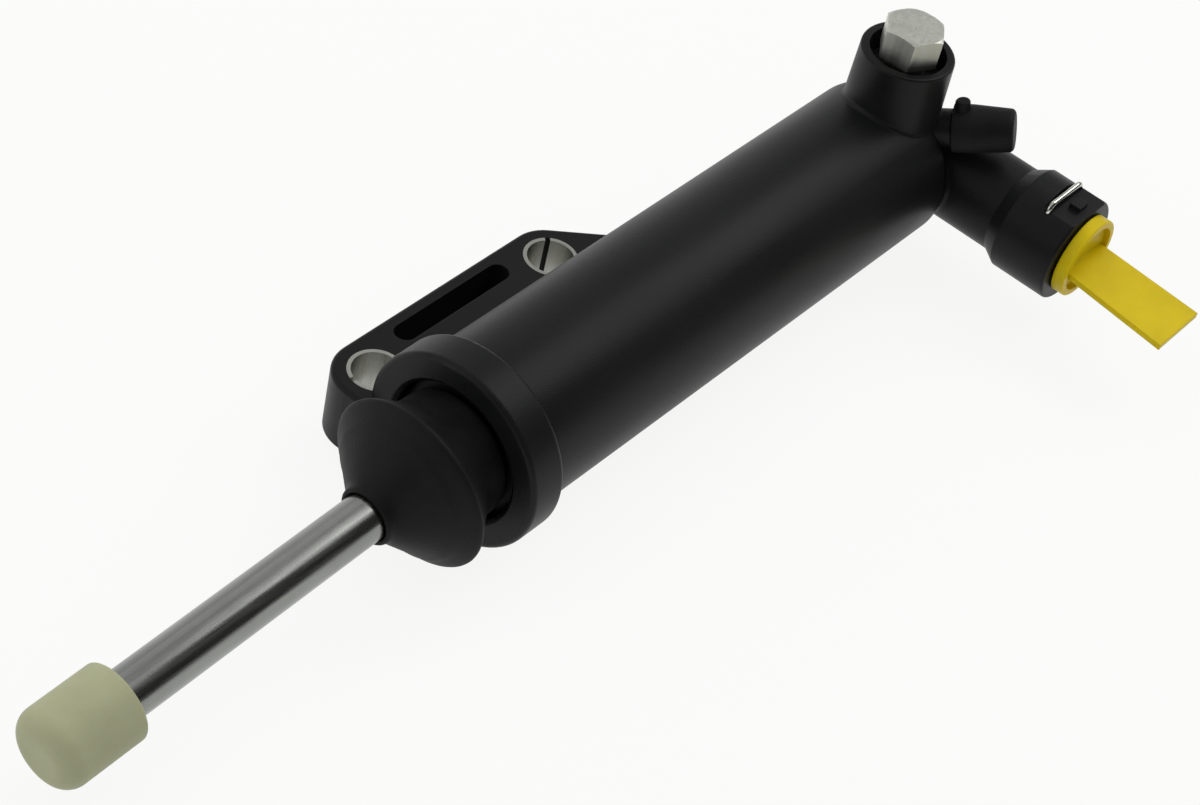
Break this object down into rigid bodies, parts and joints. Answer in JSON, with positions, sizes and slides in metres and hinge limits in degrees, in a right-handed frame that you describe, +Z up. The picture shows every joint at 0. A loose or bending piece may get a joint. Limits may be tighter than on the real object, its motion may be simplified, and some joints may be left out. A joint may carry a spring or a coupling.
{
  "type": "clutch slave cylinder",
  "caption": "Plastic clutch slave cylinder with side mounting flange, push rod in a dust boot, bleed screw, capped bleed nipple and clipped hydraulic port with a transport plug.",
  "frame": {"origin": "midway between the two mounting bolts, on the flange's mounting face", "axes": "+X along the bore from the push rod to the hydraulic end, +Z up along the bolts, away from the mounting face; the bore lies on the -Y side of the bolts"},
  "size_m": [0.241, 0.0997, 0.0523],
  "materials": {
    "black_plastic": "satin, lightly grained glass-filled moulding",
    "grey_plastic": "satin",
    "mount_steel": "plain rolled steel",
    "zinc_steel": "satin zinc-plated steel",
    "spring_steel": "drawn spring wire",
    "rod_metal": "smooth drawn metal",
    "piston_metal": "machined",
    "seal_rubber": "smooth black rubber",
    "boot_rubber": "soft black rubber",
    "cream_plastic": "satin, off-white",
    "yellow_plastic": "soft moulded plastic",
    "clip_wire": "bright bent wire"
  },
  "bodies": {
    "housing": {"cylinder_housing": "black_plastic", "front_mount_bushing": "mount_steel", "rear_mount_bushing": "mount_steel", "stop_washer": "zinc_steel", "snap_ring": "spring_steel", "return_spring": "spring_steel", "port_seal": "seal_rubber", "seal_retainer": "grey_plastic"},
    "piston": {"piston": "piston_metal", "primary_seal": "seal_rubber", "secondary_seal": "seal_rubber", "guide_ring": "grey_plastic", "spring_seat": "zinc_steel", "rod_retainer": "grey_plastic"},
    "push_rod": {"push_rod": "rod_metal", "rod_tip": "cream_plastic", "dust_boot": "boot_rubber"},
    "bleed_screw": {"bleed_screw": "zinc_steel", "bleed_screw_seal": "seal_rubber"},
    "bleed_cap": {"bleed_cap": "seal_rubber"},
    "line_clip": {"line_clip": "clip_wire"},
    "transport_plug": {"transport_plug": "yellow_plastic"}
  },
  "joints": [
    {"name": "piston_slide", "type": "slide", "parent": "housing", "child": "piston", "axis": [1, 0, 0], "range_m": [0, 0.02], "stiffness_N_per_m": 300, "springref_m": -0.03, "deforming": ["return_spring", "dust_boot"]},
    {"name": "rod_tilt", "type": "hinge", "parent": "piston", "child": "push_rod", "pos_m": [-0.0187, -0.023, 0.01557], "axis": [0, 1, 0], "range_deg": [0, 6], "deforming": ["dust_boot"]},
    {"name": "bleed_screw_turn", "type": "hinge", "parent": "housing", "child": "bleed_screw", "pos_m": [0.0964, -0.023, 0.03657], "axis": [0, 0, 1], "range_deg": [0, 360]},
    {"name": "bleed_cap_pull", "type": "slide", "parent": "housing", "child": "bleed_cap", "axis": [0.4427, -0.8505, 0.284], "range_m": [0, 0.012]},
    {"name": "clip_lift", "type": "slide", "parent": "housing", "child": "line_clip", "axis": [0, 0, 1], "range_m": [0, 0.0045]},
    {"name": "plug_pull", "type": "slide", "parent": "housing", "child": "transport_plug", "axis": [0, -1, 0], "range_m": [0, 0.026]}
  ]
}
